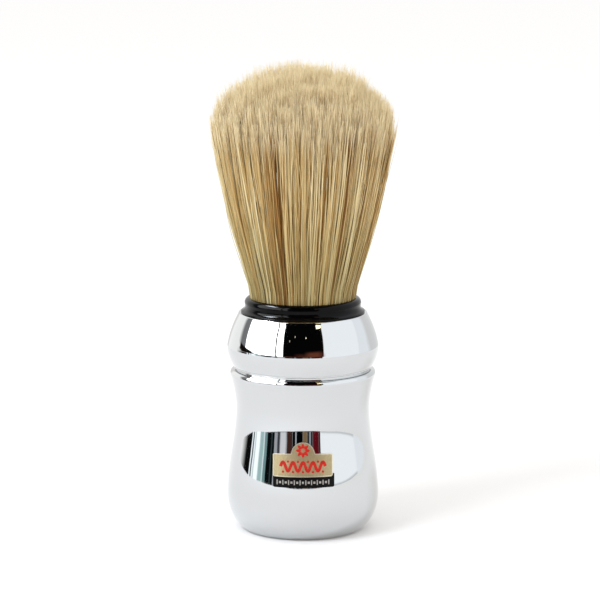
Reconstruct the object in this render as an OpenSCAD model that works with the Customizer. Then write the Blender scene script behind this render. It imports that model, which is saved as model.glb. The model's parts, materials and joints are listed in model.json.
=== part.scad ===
// Shaving brush: a knot of bristles in a black ferrule, clamped onto a plated two-piece handle.
// Millimetres. +Z runs up the brush and the origin is the centre of the foot it stands on.
// The label is on the -Y side, which is the front.

/* [Bristles] */
// Radius of the bound bristle bundle, which the ferrule and the handle are built around
knot_r = 12.4; // [10:0.1:15]
// Length of bristle that stands clear of the ferrule
loft = 65; // [55:0.5:80]
// How far the fan of bristles spreads past the mouth of the ferrule
fan_spread = 11; // [7:0.1:14]
// Height of the domed tip
dome_h = 17.9; // [12:0.1:22]
// Height above the ferrule at which the lower half of the bristles bends
low_bend_z = 7; // [6:0.1:9]
// Height above the ferrule at which the upper half of the bristles bends
high_bend_z = 25; // [20.5:0.1:30]
// Turns of cord around the bundle
cord_turns = 4; // [3:1:5]
// Thickness of the cord
cord_d = 0.9; // [0.6:0.05:1.1]

/* [Ferrule] */
// Width of the resin between the bundle and the cup
resin_w = 1.2; // [1.2:0.05:1.6]
// Wall thickness of the cup
cup_wall = 1.6; // [1.2:0.1:2]
// Depth of the cup, from its mouth to its floor
cup_depth = 16.5; // [13.5:0.1:20]
// Thickness of the cup's floor
cup_floor = 2.5; // [2:0.1:3.5]
// Height of the ferrule that shows above the collar
neck_h = 4.1; // [3.4:0.1:5]
// How far the flange reaches past the cup
flange_w = 1.9; // [1.7:0.05:2.4]
// Thickness of the flange's edge
flange_t = 0.45; // [0.3:0.05:0.7]
// How far the ferrule's waist stands past the cup
neck_w = 0.75; // [0.6:0.05:0.9]
// Radius of the bead around the mouth
bead_round = 1.4; // [1.1:0.05:1.7]
// Radius of the stem that takes the screw
stem_r = 6; // [5:0.1:7.5]

/* [Collar] */
// Height of the collar
collar_h = 15.8; // [13:0.1:20]
// Wall of the spigot that centres the collar on the body
spigot_wall = 1.95; // [1.6:0.05:2.4]
// Height of the spigot
spigot_h = 4; // [3.3:0.1:5]
// Wall of the collar at its lower edge
collar_wall = 1.85; // [1.5:0.05:2.3]
// How far the collar's ridge bulges past its lower edge
ridge_bulge = 1.9; // [1.2:0.1:2.6]
// Height of the ridge above the collar's lower edge
ridge_rise = 6.7; // [5.5:0.1:8.1]
// How far the collar's top edge stands past the flange
collar_rim_w = 0.8; // [0.6:0.05:1.2]
// Height of the parting groove between body and collar
groove_h = 0.6; // [0.4:0.1:1]
// Depth of the parting groove
groove_d = 0.7; // [0.4:0.1:0.9]

/* [Handle body] */
// Height of the handle body, from the foot to the parting line under the collar
body_h = 45.1; // [41:0.1:56]
// How far the body's lip stands past the lower edge of the collar
lip_w = 1.05; // [0.7:0.05:1.5]
// Radius of the lip's rounding
lip_round = 1.2; // [0.9:0.05:1.5]
// How far the waist is drawn in from the lip
waist_depth = 1.65; // [1:0.05:2.2]
// Height of the waist, where the flare to the lip begins
waist_z = 34.5; // [29:0.1:37]
// How far the belly stands past the lip
belly_w = 0.85; // [0:0.05:2.5]
// Height of the belly's widest ring
belly_z = 10.5; // [8.5:0.1:13]
// How far the foot is drawn in from the belly
foot_inset = 5; // [4:0.1:6]
// Thickness of the web that the screw pulls against
web_t = 2; // [1.6:0.1:3]

/* [Clamp] */
// Radius of the screw's shank
screw_r = 2; // [1.5:0.1:2.5]
// Length of the screw under its head
screw_l = 30; // [25:0.5:32]
// Length of thread that the screw holds by
screw_bite = 5; // [4:0.1:6]
// How far the screw's head reaches past its shank
head_w = 1.8; // [1.4:0.1:2.2]
// Height of the screw's head
head_h = 2.4; // [2:0.1:2.9]
// How far the washer reaches past the screw's head
washer_w = 0.8; // [0.4:0.1:1.2]
// Thickness of the washer
washer_t = 0.8; // [0.5:0.1:1]
// Wall of the threaded insert
insert_wall = 1; // [0.8:0.1:1.5]
// Length of the threaded insert
insert_l = 8; // [6:0.5:9.6]

/* [Ballast and base] */
// Width of the flat ring that the brush stands on
foot_w = 1.35; // [1:0.05:1.8]
// Width of the step that the base cap seats on
cap_seat_w = 0.75; // [0.5:0.05:1.2]
// Thickness of the ballast weight
ballast_t = 4.8; // [4.4:0.1:6]
// Thickness of the base cap's disc
cap_t = 1.2; // [0.8:0.1:1.4]
// Height of the base cap, with its rim
cap_h = 1.9; // [1.6:0.1:2.3]
// Gap between the base cap and the surface the brush stands on
cap_lift = 0.5; // [0.3:0.1:0.8]

/* [Label] */
// Width of the label
label_w = 16.2; // [10:0.1:20]
// Height of the label's lower edge above the foot
label_z = 15.8; // [13:0.1:19]
// Height of the dark strip along the label's lower edge
strip_h = 2.9; // [2:0.1:4]
// Height of the label's metallic panel
panel_h = 6.3; // [5:0.1:7.6]
// Radius of the half-round tab on top of the label
tab_r = 3.1; // [2:0.1:3.8]
// Amount of backing that shows past the panel's right edge
backing_show = 0.4; // [0.2:0.05:1]
// Thickness of each of the label's two foils
foil_t = 0.12; // [0.1:0.01:0.2]

/* [Seals and clearances] */
// Thickness of the round seal between body and collar
ring_d = 0.96; // [0.8:0.02:1.16]
// Thickness of the flat seal under the flange
seal_t = 0.8; // [0.5:0.1:1]
// Width of the flat seal under the flange
seal_w = 1.5; // [1.2:0.1:1.5]
// Radial clearance of pieces that slide over one another
slide_gap = 0.05; // [0.02:0.01:0.06]
// Radial clearance of pieces that are pressed or cemented
press_gap = 0.02; // [0.01:0.01:0.03]
// Gap between the bristle halves, so that they bend freely
bend_gap = 0.3; // [0.2:0.05:0.4]

/* [Hidden] */
$fn = 96;

chrome_color = [0.82, 0.83, 0.85];
black_color = [0.05, 0.05, 0.06];
bristle_color = [0.82, 0.72, 0.52];
cord_color = [0.86, 0.82, 0.70];
resin_color = [0.70, 0.50, 0.22];
brass_color = [0.80, 0.64, 0.30];
steel_color = [0.60, 0.62, 0.65];
seal_color = [0.12, 0.12, 0.12];
panel_color = [0.78, 0.66, 0.38];

curve_steps = 16; // straight pieces along each long curve of an outline
round_steps = 8; // straight pieces around each small rounding
cut_over = 1; // how far a cut runs past a face
end_play = 0.2; // room left past the end of a fixed piece

// Corner shape of the foot: how square its rise and its run are.
foot_rise_power = 2.4;
foot_run_power = 1.25;
// Flare from the waist to the lip: 1 is a cone, more bends it inwards.
flare_power = 1.6;
flare_tilt = 17; // slope of the flare where it meets the lip, in degrees
// The upper slope of the collar: how far its middle bulges past a straight line.
collar_bulge = 0.36;
collar_edge_round = 0.5; // rounding of the collar's top edge
guide_h = 2.5; // height of the rib in the collar that centres the ferrule
snap_h = 0.6; // height of the base cap's snap ridge
snap_d = 0.2; // how far the snap ridge stands out
snap_drop = 0.9; // how far below its seat the snap ridge starts
cap_rim_w = 1; // width of the base cap's rim
cap_edge = 0.3; // chamfer of the base cap's lower edge
ballast_edge = 0.5; // chamfer of the ballast weight
flare_h = 7; // height over which the cup's bore widens to its mouth
mouth_edge = 0.25; // height of the mouth's inner edge
resin_under = 1.5; // resin under the butts of the bristles
resin_drop = 1; // how far below the widening bore the resin stops
cord_rise = 2; // height of the cord above the butts
root_gap = 0.15; // room between the bristles and the ferrule's mouth
root_rise = 1.7; // how far the bound bristles stand clear of the ferrule
high_dish = 7.15; // depth of the dish between the two bristle halves
ball_side = 3; // height over which each bristle half follows its ball past the middle
fan_swell = 0.08; // how far the fan's side bows out, as a share of its spread
label_play = 0.02; // adhesive under each foil
strip_over = 0.8; // how far the backing shows above the dark strip
slot_w = 0.9; // width of the cross in the screw's head
slot_depth = 1.2; // depth of the cross in the screw's head
screw_edge = 0.6; // chamfer of the screw's tip

// Radii, worked out from the bundle of bristles outwards.
cup_bore_r = knot_r + resin_w;
cup_r = cup_bore_r + cup_wall;
guide_r = cup_r + slide_gap;
neck_r = cup_r + neck_w;
flange_r = cup_r + flange_w;
spigot_r = guide_r + spigot_wall;
collar_bore_r = spigot_r + slide_gap;
collar_foot_r = collar_bore_r + collar_wall;
collar_top_r = flange_r + collar_rim_w;
ridge_r = collar_foot_r + ridge_bulge;
seal_in_r = guide_r + slide_gap;
seal_out_r = seal_in_r + seal_w;
lip_r = collar_foot_r + lip_w;
waist_r = lip_r - waist_depth;
belly_r = lip_r + belly_w;
foot_r = belly_r - foot_inset;
cap_bore_r = foot_r - foot_w;
cap_r = cap_bore_r - slide_gap;
ballast_bore_r = cap_bore_r - cap_seat_w;
ballast_r = ballast_bore_r - 2 * slide_gap;
screw_hole_r = screw_r + 4 * slide_gap;
insert_bore_r = screw_r + press_gap;
insert_r = insert_bore_r + insert_wall;
head_r = screw_r + head_w;
washer_r = head_r + washer_w;

// Heights of the stack, from the foot up.
cap_seat_z = cap_lift + cap_h;
ballast_z = cap_seat_z + end_play;
web_z = ballast_z + ballast_t;
web_top_z = web_z + web_t;
screw_head_z = cap_seat_z + end_play + head_h;
washer_top_z = screw_head_z + washer_t;
screw_tip_z = screw_head_z + screw_l;
collar_top_z = body_h + collar_h;
mouth_z = collar_top_z + neck_h;
cup_floor_z = mouth_z - cup_depth;
cup_base_z = cup_floor_z - cup_floor;
stem_z = screw_tip_z - screw_bite;
tip_z = mouth_z + loft;
fan_z = tip_z - dome_h;

// The round seal lies in a groove around the spigot.
ring_groove_d = ring_d + 2 * press_gap - slide_gap;
ring_groove_h = ring_d + 2 * slide_gap;
ring_groove_z = body_h + (spigot_h - ring_groove_h) / 2;

// The cup's bore and the mouth of the ferrule.
bead_r = neck_r - bead_round + 0.15;
bead_z = mouth_z - bead_round;
mouth_r = bead_r - 0.1;
flare_bore_z = mouth_z - flare_h;
insert_hole_z = stem_z + insert_l + end_play;

// The bundle of bristles in the cup, with its cord and resin.
butt_z = cup_floor_z + resin_under;
resin_top_z = flare_bore_z - resin_drop;
cord_z = butt_z + cord_rise;
cord_in_r = knot_r + press_gap;
cord_top_z = cord_z + cord_d * cord_turns;

// Where the bristles bend, and the balls that the bends turn on.
root_r = mouth_r - root_gap;
fan_r = mouth_r + fan_spread;
root_rim_z = mouth_z + root_rise;
low_pivot_z = mouth_z + low_bend_z;
high_pivot_z = mouth_z + high_bend_z;
shank_rim_z = high_pivot_z - high_dish;
low_ball_r = norm([tuft_r(root_rim_z), low_pivot_z - root_rim_z]);
high_ball_r = norm([tuft_r(shank_rim_z), high_pivot_z - shank_rim_z]);

// The base cap's snap ridge, and the label.
snap_z = cap_seat_z - snap_drop;
panel_z = label_z + strip_h;
panel_top_z = panel_z + panel_h;
label_top_z = panel_top_z + tab_r;

// Points on an arc about (r, z), from one angle to another.
function arc(r, z, radius, from, to, steps) = [
    for (i = [0:steps])
        let (a = from + (to - from) * i / steps)
        [r + radius * cos(a), z + radius * sin(a)]
];

// Evenly spaced heights between two heights.
function heights(from, to, steps) = [for (i = [0:steps]) from + (to - from) * i / steps];

// Outer radius of the body at a height below the lip: the foot, the belly and the flare.
function foot_curve(z) =
    foot_r + (belly_r - foot_r)
        * pow(1 - pow(1 - z / belly_z, foot_rise_power), 1 / foot_run_power);
function belly_curve(z) =
    waist_r + (belly_r - waist_r) * (1 + cos(180 * (z - belly_z) / (waist_z - belly_z))) / 2;
lip_center_r = lip_r - lip_round;
lip_center_z = body_h - lip_round;
flare_end_r = lip_center_r + lip_round * cos(flare_tilt);
flare_end_z = lip_center_z - lip_round * sin(flare_tilt);
function flare_curve(z) =
    waist_r + (flare_end_r - waist_r) * pow((z - waist_z) / (flare_end_z - waist_z), flare_power);
function body_curve(z) =
    z < belly_z ? foot_curve(z) : z < waist_z ? belly_curve(z) : flare_curve(z);

body_outline = concat(
    [for (z = heights(0, belly_z, curve_steps)) [foot_curve(z), z]],
    [for (i = [1:curve_steps])
        let (z = belly_z + (waist_z - belly_z) * i / curve_steps) [belly_curve(z), z]],
    [for (i = [1:round_steps])
        let (z = waist_z + (flare_end_z - waist_z) * i / round_steps) [flare_curve(z), z]],
    [for (i = [1:round_steps])
        let (a = -flare_tilt + (90 + flare_tilt) * i / round_steps)
        [lip_center_r + lip_round * cos(a), lip_center_z + lip_round * sin(a)]]
);

// Radius of the bristle fan at a height between the ferrule and its widest ring.
function tuft_r(z) =
    let (u = max(0, (z - root_rim_z) / (fan_z - root_rim_z)))
    mouth_r + (fan_r - mouth_r) * (u + fan_swell * sin(180 * u));

// Outer radius of the collar at a height.
ridge_z = body_h + ridge_rise;
collar_edge_z = collar_top_z - collar_edge_round;
function collar_low_curve(z) =
    ridge_r - (ridge_r - collar_foot_r)
        * pow((ridge_z - z) / (ridge_rise - groove_h), 2);
function collar_high_curve(z) =
    let (u = (z - ridge_z) / (collar_edge_z - ridge_z))
    ridge_r + (collar_top_r - ridge_r) * u + collar_bulge * 4 * u * (1 - u);

module body_shell() {
    color(chrome_color)
    rotate_extrude() polygon(concat(
        [[cap_bore_r, 0]],
        body_outline,
        [
            [spigot_r, body_h],
            [spigot_r, ring_groove_z],
            [spigot_r - ring_groove_d, ring_groove_z],
            [spigot_r - ring_groove_d, ring_groove_z + ring_groove_h],
            [spigot_r, ring_groove_z + ring_groove_h],
            [spigot_r, body_h + spigot_h],
            [guide_r, body_h + spigot_h],
            [guide_r, web_top_z],
            [screw_hole_r, web_top_z],
            [screw_hole_r, web_z],
            [ballast_bore_r, web_z],
            [ballast_bore_r, cap_seat_z],
            [cap_bore_r, cap_seat_z],
            [cap_bore_r, snap_z + snap_h],
            [cap_bore_r + snap_d, snap_z + snap_h / 2],
            [cap_bore_r, snap_z]
        ]
    ));
}

module base_cap() {
    color(black_color)
    rotate_extrude() polygon([
        [0, cap_lift],
        [cap_r - cap_edge, cap_lift],
        [cap_r, cap_lift + cap_edge],
        [cap_r, snap_z],
        [cap_r + snap_d, snap_z + snap_h / 2],
        [cap_r, snap_z + snap_h],
        [cap_r, cap_seat_z],
        [cap_r - cap_rim_w, cap_seat_z],
        [cap_r - cap_rim_w, cap_lift + cap_t],
        [0, cap_lift + cap_t]
    ]);
}

module collar_shell() {
    seat_z = collar_top_z - seal_t;
    guide_z = seat_z - guide_h;
    color(chrome_color)
    rotate_extrude() polygon(concat(
        [
            [collar_bore_r, body_h],
            [collar_foot_r - groove_d, body_h],
            [collar_foot_r - groove_d, body_h + groove_h]
        ],
        [for (z = heights(body_h + groove_h, ridge_z, curve_steps)) [collar_low_curve(z), z]],
        [for (i = [1:curve_steps])
            let (z = ridge_z + (collar_edge_z - ridge_z) * i / curve_steps)
            [collar_high_curve(z), z]],
        [
            [collar_top_r - collar_edge_round * 0.3, collar_top_z - collar_edge_round * 0.3],
            [collar_top_r - collar_edge_round, collar_top_z],
            [seal_out_r + slide_gap, collar_top_z],
            [seal_out_r + slide_gap, seat_z],
            [guide_r, seat_z],
            [guide_r, guide_z],
            [collar_bore_r, guide_z]
        ]
    ));
}

module joint_seal() {
    color(seal_color)
    rotate_extrude()
    translate([spigot_r - ring_groove_d + press_gap + ring_d / 2, ring_groove_z + ring_groove_h / 2])
    circle(d = ring_d, $fn = 32);
}

module neck_seal() {
    color(seal_color)
    translate([0, 0, collar_top_z - seal_t])
    difference() {
        cylinder(h = seal_t, r = seal_out_r);
        translate([0, 0, -cut_over]) cylinder(h = seal_t + 2 * cut_over, r = seal_in_r);
    }
}

module ferrule() {
    bead_from = -30;
    outside = concat(
        [[stem_r, stem_z], [stem_r, cup_base_z], [cup_r, cup_base_z], [cup_r, collar_top_z]],
        [
            [flange_r, collar_top_z],
            [flange_r, collar_top_z + flange_t],
            [flange_r - 0.45, collar_top_z + flange_t + 0.3],
            [neck_r + 0.25, collar_top_z + flange_t + 0.6],
            [neck_r, collar_top_z + flange_t + 0.9]
        ],
        arc(bead_r, bead_z, bead_round, bead_from, 95, round_steps * 2)
    );
    inside = [
        [mouth_r, mouth_z - mouth_edge],
        [cup_bore_r, flare_bore_z],
        [cup_bore_r, cup_floor_z],
        [0, cup_floor_z],
        [0, insert_hole_z],
        [insert_r + press_gap, insert_hole_z],
        [insert_r + press_gap, stem_z]
    ];
    color(black_color) rotate_extrude() polygon(concat(outside, inside));
}

module brass_insert() {
    color(brass_color)
    translate([0, 0, stem_z])
    difference() {
        cylinder(h = insert_l, r = insert_r);
        translate([0, 0, -cut_over]) cylinder(h = insert_l + 2 * cut_over, r = insert_bore_r);
    }
}

// Bound bundle in the cup, hollowed on top by the ball that the bristles above turn on.
module bristle_roots() {
    dish_from = -acos(tuft_r(root_rim_z) / low_ball_r);
    color(bristle_color)
    rotate_extrude() polygon(concat(
        [
            [0, butt_z],
            [knot_r, butt_z],
            [knot_r, flare_bore_z],
            [root_r, mouth_z - mouth_edge],
            [root_r, mouth_z]
        ],
        arc(0, low_pivot_z, low_ball_r, dish_from, -90, curve_steps)
    ));
}

module binding_cord() {
    turns = [for (i = [0:cord_turns - 1]) cord_z + cord_d * (i + 0.5)];
    color(cord_color)
    rotate_extrude() polygon(concat(
        [[cord_in_r, cord_top_z], [cord_in_r, cord_z]],
        [for (z = turns, i = [0:round_steps])
            let (a = -80 + 160 * i / round_steps)
            [cord_in_r + cord_d / 2 + cord_d / 2 * cos(a), z + cord_d / 2 * sin(a)]]
    ));
}

module resin_plug() {
    out_r = cup_bore_r - press_gap;
    in_r = knot_r + press_gap;
    pocket_r = cord_in_r + cord_d + press_gap;
    pocket_top_z = cord_top_z + press_gap;
    color(resin_color)
    rotate_extrude() polygon([
        [0, cup_floor_z],
        [out_r, cup_floor_z],
        [out_r, resin_top_z],
        [in_r, resin_top_z],
        [in_r, pocket_top_z],
        [pocket_r, pocket_top_z],
        [pocket_r, cord_z - press_gap],
        [in_r, cord_z - press_gap],
        [in_r, butt_z],
        [0, butt_z]
    ]);
}

// Lower half of the free bristles: a ball below, a dish on top for the upper half.
module bristle_shank() {
    ball_r = low_ball_r - bend_gap;
    dish_from = -acos(tuft_r(shank_rim_z) / high_ball_r);
    color(bristle_color)
    rotate_extrude() polygon(concat(
        arc(0, low_pivot_z, ball_r, -90, 0, curve_steps),
        [for (i = [1:round_steps])
            let (z = low_pivot_z + ball_side + (shank_rim_z - low_pivot_z - ball_side) * i / round_steps)
            [tuft_r(z), z]],
        arc(0, high_pivot_z, high_ball_r, dish_from, -90, curve_steps)
    ));
}

module bristle_crown() {
    ball_r = high_ball_r - bend_gap;
    color(bristle_color)
    rotate_extrude() polygon(concat(
        arc(0, high_pivot_z, ball_r, -90, 0, curve_steps),
        [for (i = [1:round_steps])
            let (z = high_pivot_z + ball_side + (fan_z - high_pivot_z - ball_side) * i / round_steps)
            [tuft_r(z), z]],
        [for (i = [1:curve_steps])
            let (a = 90 * i / curve_steps) [fan_r * cos(a), fan_z + dome_h * sin(a)]]
    ));
}

module ballast_weight() {
    color(steel_color)
    rotate_extrude() polygon([
        [screw_hole_r, washer_top_z],
        [washer_r + 2 * slide_gap, washer_top_z],
        [washer_r + 2 * slide_gap, ballast_z],
        [ballast_r - ballast_edge, ballast_z],
        [ballast_r, ballast_z + ballast_edge],
        [ballast_r, web_z],
        [screw_hole_r, web_z]
    ]);
}

module washer() {
    color(steel_color)
    translate([0, 0, screw_head_z])
    difference() {
        cylinder(h = washer_t, r = washer_r);
        translate([0, 0, -cut_over])
        cylinder(h = washer_t + 2 * cut_over, r = screw_r + 3 * slide_gap);
    }
}

module tie_screw() {
    top_z = screw_head_z - head_h;
    color(steel_color)
    difference() {
        rotate_extrude() polygon([
            [0, top_z],
            [head_r * 0.6, top_z],
            [head_r * 0.9, top_z + head_h * 0.2],
            [head_r, top_z + head_h * 0.5],
            [head_r, screw_head_z],
            [screw_r, screw_head_z],
            [screw_r, screw_tip_z - screw_edge],
            [screw_r - screw_edge, screw_tip_z],
            [0, screw_tip_z]
        ]);
        for (turn = [0, 90])
            rotate(turn)
            translate([-head_r * 0.6, -slot_w / 2, top_z - cut_over])
            cube([head_r * 1.2, slot_w, slot_depth + cut_over]);
    }
}

// A foil that hugs the front of the body, between two distances from its surface.
module foil_band(from, to, low_z, high_z) {
    band = heights(low_z, high_z, round_steps * 2);
    rotate_extrude() polygon(concat(
        [for (z = band) [body_curve(z) + to, z]],
        [for (i = [len(band) - 1:-1:0]) [body_curve(band[i]) + from, band[i]]]
    ));
}

module label_cut() {
    rotate([90, 0, 0]) linear_extrude(belly_r + cut_over) children();
}

// Outline of the label: a rectangle with a half-round tab on top.
module label_outline(low_z, high_z, left_x, right_x, round_r) {
    translate([left_x, low_z]) square([right_x - left_x, high_z - low_z]);
    translate([0, high_z]) circle(r = round_r, $fn = 48);
}

module label_backing() {
    color(black_color)
    intersection() {
        foil_band(label_play, label_play + foil_t, label_z, label_top_z + cut_over);
        label_cut() union() {
            label_outline(label_z, panel_top_z, -label_w / 2, label_w / 2, tab_r);
            translate([0, label_z]) square([label_w / 2 + backing_show, strip_h + strip_over]);
        }
    }
}

module label_panel() {
    inner = 2 * label_play + foil_t;
    color(panel_color)
    intersection() {
        foil_band(inner, inner + foil_t, panel_z, label_top_z + cut_over);
        label_cut() label_outline(panel_z, panel_top_z, -label_w / 2, label_w / 2 - 0.1, tab_r);
    }
}

body_shell();
collar_shell();
joint_seal();
neck_seal();
ferrule();
brass_insert();
bristle_roots();
binding_cord();
resin_plug();
bristle_shank();
bristle_crown();
ballast_weight();
washer();
tie_screw();
base_cap();
label_backing();
label_panel();
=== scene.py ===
import json
import math

import bpy
import numpy as np
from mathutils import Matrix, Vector


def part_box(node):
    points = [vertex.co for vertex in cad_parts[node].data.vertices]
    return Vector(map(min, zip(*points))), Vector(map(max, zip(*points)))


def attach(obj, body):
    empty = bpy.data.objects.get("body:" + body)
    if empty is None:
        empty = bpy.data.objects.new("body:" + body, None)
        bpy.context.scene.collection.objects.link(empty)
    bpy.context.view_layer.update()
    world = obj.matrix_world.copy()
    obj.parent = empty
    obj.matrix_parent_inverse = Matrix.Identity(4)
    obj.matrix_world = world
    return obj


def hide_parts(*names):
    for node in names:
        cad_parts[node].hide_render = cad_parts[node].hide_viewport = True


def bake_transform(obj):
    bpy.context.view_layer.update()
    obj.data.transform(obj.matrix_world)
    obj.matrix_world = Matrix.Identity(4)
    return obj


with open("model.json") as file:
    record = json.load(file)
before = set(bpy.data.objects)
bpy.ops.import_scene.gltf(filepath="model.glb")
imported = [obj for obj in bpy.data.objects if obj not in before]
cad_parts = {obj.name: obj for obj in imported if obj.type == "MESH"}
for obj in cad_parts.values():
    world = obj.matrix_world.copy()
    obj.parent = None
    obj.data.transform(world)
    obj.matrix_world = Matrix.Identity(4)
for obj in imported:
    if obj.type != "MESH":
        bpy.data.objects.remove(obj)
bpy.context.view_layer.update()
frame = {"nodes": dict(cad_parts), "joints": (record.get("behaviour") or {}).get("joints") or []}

MM = 0.001
FRONT = -1  # the label faces -Y

# Places and sizes that the frame gives, in metres.
foot_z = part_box("body_shell")[0].z
belly_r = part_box("body_shell")[1].x
parting_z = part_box("collar_shell")[0].z
spigot_top_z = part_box("body_shell")[1].z
collar_top_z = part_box("collar_shell")[1].z
stem_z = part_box("ferrule")[0].z
mouth_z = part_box("ferrule")[1].z
flange_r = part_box("ferrule")[1].x
seal_out_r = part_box("neck_seal")[1].x
seal_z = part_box("neck_seal")[0].z
roots_top_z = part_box("bristle_roots")[1].z
fan_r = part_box("bristle_crown")[1].x
tip_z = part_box("bristle_crown")[1].z
cap_seat_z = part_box("base_cap")[1].z
ballast_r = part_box("ballast_weight")[1].x
web_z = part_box("ballast_weight")[1].z
insert_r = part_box("brass_insert")[1].x
insert_top_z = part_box("brass_insert")[1].z
label_low, label_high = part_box("label_backing")
panel_low, panel_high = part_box("label_panel")
low_bend_z = frame["joints"][0]["pos_m"][2]


# ---------------------------------------------------------------- materials

def srgb(hex_color):
    """A colour written as sRGB hex, as the linear values that the shaders take."""
    channels = [int(hex_color[i:i + 2], 16) / 255 for i in (1, 3, 5)]
    linear = [c / 12.92 if c <= 0.04045 else ((c + 0.055) / 1.055) ** 2.4 for c in channels]
    return (*linear, 1.0)


def new_material(name):
    """An empty node tree with its output, ready for nodes to be added."""
    material = bpy.data.materials.new(name)
    material.use_nodes = True
    tree = material.node_tree
    tree.nodes.clear()
    return material, tree, tree.nodes.new("ShaderNodeOutputMaterial")


def add(tree, kind, settings=None, **inputs):
    """Adds one node. An input is a value, or an output of another node to link. It goes by its name, with _
    for a space, or by its number, as i6, where several share a name."""
    node = tree.nodes.new(kind)
    for key, value in (settings or {}).items():
        setattr(node, key, value)
    for key, value in inputs.items():
        by_number = key[0] == "i" and key[1:].isdigit()
        socket = node.inputs[int(key[1:]) if by_number else key.replace("_", " ")]
        if isinstance(value, bpy.types.NodeSocket):
            tree.links.new(value, socket)
        else:
            socket.default_value = value
    return node


def ramp(tree, factor, stops):
    """A colour ramp from (place, hex colour) stops."""
    node = add(tree, "ShaderNodeValToRGB", Fac=factor)
    elements = node.color_ramp.elements
    while len(elements) < len(stops):
        elements.new(0.5)
    for element, (place, color) in zip(elements, stops):
        element.position = place
        element.color = srgb(color)
    return node.outputs["Color"]


def grain_size(size_mm):
    """The scale that gives a pattern features of this size on Object coordinates."""
    return 1 / (size_mm * MM)


def chromium_plate():
    # Bright chromium on moulded ABS: a cool mirror with the faint orange peel of the moulding.
    material, tree, out = new_material("chromium_plate")
    place = add(tree, "ShaderNodeTexCoord").outputs["Object"]
    peel = add(tree, "ShaderNodeTexNoise", Vector=place, Scale=grain_size(6), Detail=1.0)
    wipe = add(tree, "ShaderNodeTexNoise", Vector=place, Scale=grain_size(11), Detail=3.0)
    gloss = add(tree, "ShaderNodeMapRange", Value=wipe.outputs["Fac"], To_Min=0.02, To_Max=0.055)
    relief = add(tree, "ShaderNodeBump", Height=peel.outputs["Fac"], Strength=0.25, Distance=0.00008)
    shader = add(tree, "ShaderNodeBsdfPrincipled", Base_Color=srgb("#cdcfd0"), Metallic=1.0,
                 Roughness=gloss.outputs["Result"], Normal=relief.outputs["Normal"])
    tree.links.new(shader.outputs["BSDF"], out.inputs["Surface"])
    return material


def black_gloss_abs():
    # Black ABS from a polished mould: deep black with sharp highlights and a few fine rub marks.
    material, tree, out = new_material("black_gloss_abs")
    place = add(tree, "ShaderNodeTexCoord").outputs["Object"]
    rub = add(tree, "ShaderNodeTexNoise", Vector=place, Scale=grain_size(1.2), Detail=4.0)
    gloss = add(tree, "ShaderNodeMapRange", Value=rub.outputs["Fac"], From_Min=0.35, From_Max=0.8,
                To_Min=0.06, To_Max=0.14)
    flow = add(tree, "ShaderNodeTexNoise", Vector=place, Scale=grain_size(4), Detail=1.0)
    relief = add(tree, "ShaderNodeBump", Height=flow.outputs["Fac"], Strength=0.12, Distance=0.0001)
    shader = add(tree, "ShaderNodeBsdfPrincipled", Base_Color=srgb("#030304"), IOR=1.2,
                 Roughness=gloss.outputs["Result"], Normal=relief.outputs["Normal"])
    tree.links.new(shader.outputs["BSDF"], out.inputs["Surface"])
    return material


def spark_eroded_abs():
    # Black ABS from a spark-eroded mould: a fine even grain that breaks up the gloss.
    material, tree, out = new_material("spark_eroded_abs")
    place = add(tree, "ShaderNodeTexCoord").outputs["Object"]
    grain = add(tree, "ShaderNodeTexNoise", Vector=place, Scale=grain_size(0.25), Detail=3.0)
    relief = add(tree, "ShaderNodeBump", Height=grain.outputs["Fac"], Strength=0.5, Distance=0.00008)
    tone = ramp(tree, grain.outputs["Fac"], [(0.3, "#141416"), (0.7, "#242427")])
    shader = add(tree, "ShaderNodeBsdfPrincipled", Base_Color=tone, Roughness=0.5,
                 Normal=relief.outputs["Normal"])
    tree.links.new(shader.outputs["BSDF"], out.inputs["Surface"])
    return material


def bleached_boar_bristle():
    # Bleached boar bristle: straw coloured, no two alike, paler towards the split tip, with a few that kept
    # their dark root colour. Painted shade: darker towards the root, and deeper gold in the inner bristles.
    material, tree, out = new_material("bleached_boar_bristle")
    tint = add(tree, "ShaderNodeAttribute", {"attribute_name": "tint"}).outputs["Fac"]
    along = add(tree, "ShaderNodeAttribute", {"attribute_name": "along"}).outputs["Fac"]
    hair = ramp(tree, tint, [(0.0, "#2a1810"), (0.05, "#44290f"), (0.08, "#7a4c1c"), (0.3, "#ad8241"),
                             (0.58, "#d6ba7e"), (1.0, "#ece0b8")])
    # Painted shade: the bristles darken and grey towards the root, low in the bundle.
    root_shade = ramp(tree, along, [(0.0, "#c6c5b2"), (0.35, "#dfdccc"), (0.6, "#f2efe6"), (0.8, "#ffffff")])
    root_shaded = add(tree, "ShaderNodeMix", {"data_type": "RGBA", "blend_type": "MULTIPLY"}, Factor=1.0,
               i6=hair, i7=root_shade)
    split = add(tree, "ShaderNodeMapRange", Value=along, From_Min=0.9, From_Max=1.0, To_Min=0.0, To_Max=0.95)
    pale = add(tree, "ShaderNodeMix", {"data_type": "RGBA"}, Factor=split.outputs["Result"],
               i6=root_shaded.outputs[2], i7=srgb("#f4e6c0"))
    shader = add(tree, "ShaderNodeBsdfPrincipled", Base_Color=pale.outputs[2], Roughness=0.5, IOR=1.4)
    tree.links.new(shader.outputs["BSDF"], out.inputs["Surface"])
    return material


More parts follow.
